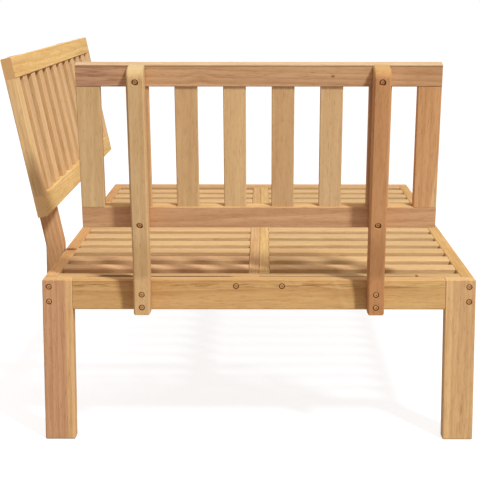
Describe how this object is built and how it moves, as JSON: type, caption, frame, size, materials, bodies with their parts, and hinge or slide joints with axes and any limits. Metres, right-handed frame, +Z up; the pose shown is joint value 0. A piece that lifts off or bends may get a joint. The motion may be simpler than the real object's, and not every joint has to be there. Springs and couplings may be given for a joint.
{
  "type": "outdoor corner sofa",
  "caption": "Slatted teak corner sofa for patio or porch: a low slatted seat on board legs with two leaning slatted backs bolted on posts along two adjoining sides.",
  "frame": {"origin": "on the floor, under the middle of the sofa's overall box", "axes": "+Z up, +Y along the seat's length away from the short back, +X across the seat away from the long back"},
  "size_m": [1.1425, 1.6425, 0.8871],
  "materials": {
    "teak_rear_left_leg": "planed and sanded, unvarnished",
    "teak_rear_right_leg": "planed and sanded, unvarnished",
    "teak_front_legs": "planed and sanded, unvarnished",
    "teak_rear_apron": "planed and sanded, unvarnished",
    "teak_front_apron": "planed and sanded, unvarnished",
    "teak_side_rails": "planed and sanded, unvarnished",
    "teak_end_rails": "planed and sanded, unvarnished",
    "teak_centre_rails": "planed and sanded, unvarnished",
    "teak_seat_slats": "planed and sanded, unvarnished",
    "teak_rear_left_post": "planed and sanded, unvarnished",
    "teak_rear_right_post": "planed and sanded, unvarnished",
    "teak_left_posts": "planed and sanded, unvarnished",
    "teak_rear_top_rail": "planed and sanded, unvarnished",
    "teak_rear_bottom_rail": "planed and sanded, unvarnished",
    "teak_rear_uprights": "planed and sanded, unvarnished",
    "teak_left_rails": "planed and sanded, unvarnished",
    "teak_left_uprights": "planed and sanded, unvarnished",
    "bronze_bolts": "bronzed, satin",
    "dark_screws": "browned, satin",
    "steel_nuts": "zinc plated"
  },
  "bodies": {
    "root": {"rear_left_leg": "teak_rear_left_leg", "rear_right_leg": "teak_rear_right_leg", "front_left_leg": "teak_front_legs", "front_right_leg": "teak_front_legs", "rear_apron": "teak_rear_apron", "front_apron": "teak_front_apron", "left_side_rail": "teak_side_rails", "right_side_rail": "teak_side_rails", "rear_left_end_rail": "teak_end_rails", "rear_right_end_rail": "teak_end_rails", "front_left_end_rail": "teak_end_rails", "front_right_end_rail": "teak_end_rails", "left_centre_rail": "teak_centre_rails", "right_centre_rail": "teak_centre_rails", "seat_slat_pair_01": "teak_seat_slats", "seat_slat_pair_02": "teak_seat_slats", "seat_slat_pair_03": "teak_seat_slats", "seat_slat_pair_04": "teak_seat_slats", "seat_slat_pair_05": "teak_seat_slats", "seat_slat_pair_06": "teak_seat_slats", "seat_slat_pair_07": "teak_seat_slats", "seat_slat_pair_08": "teak_seat_slats", "seat_slat_pair_09": "teak_seat_slats", "seat_slat_pair_10": "teak_seat_slats", "seat_slat_pair_11": "teak_seat_slats", "seat_slat_pair_12": "teak_seat_slats", "seat_slat_pair_13": "teak_seat_slats", "rear_back_left_post": "teak_rear_left_post", "rear_back_right_post": "teak_rear_right_post", "left_back_rear_post": "teak_left_posts", "left_back_front_post": "teak_left_posts", "rear_back_top_rail": "teak_rear_top_rail", "rear_back_bottom_rail": "teak_rear_bottom_rail", "rear_back_left_stile": "teak_rear_uprights", "rear_back_right_stile": "teak_rear_uprights", "rear_back_slat_01": "teak_rear_uprights", "rear_back_slat_02": "teak_rear_uprights", "rear_back_slat_03": "teak_rear_uprights", "rear_back_slat_04": "teak_rear_uprights", "rear_back_slat_05": "teak_rear_uprights", "rear_back_slat_06": "teak_rear_uprights", "left_back_top_rail": "teak_left_rails", "left_back_bottom_rail": "teak_left_rails", "left_back_rear_stile": "teak_left_uprights", "left_back_front_stile": "teak_left_uprights", "left_back_slat_01": "teak_left_uprights", "left_back_slat_02": "teak_left_uprights", "left_back_slat_03": "teak_left_uprights", "left_back_slat_04": "teak_left_uprights", "left_back_slat_05": "teak_left_uprights", "left_back_slat_06": "teak_left_uprights", "left_back_slat_07": "teak_left_uprights", "left_back_slat_08": "teak_left_uprights", "left_back_slat_09": "teak_left_uprights", "left_back_slat_10": "teak_left_uprights", "leg_bolts": "bronze_bolts", "post_bolts": "bronze_bolts", "apron_bolts": "bronze_bolts", "back_screws": "dark_screws", "barrel_nuts": "steel_nuts"}
  },
  "joints": []
}
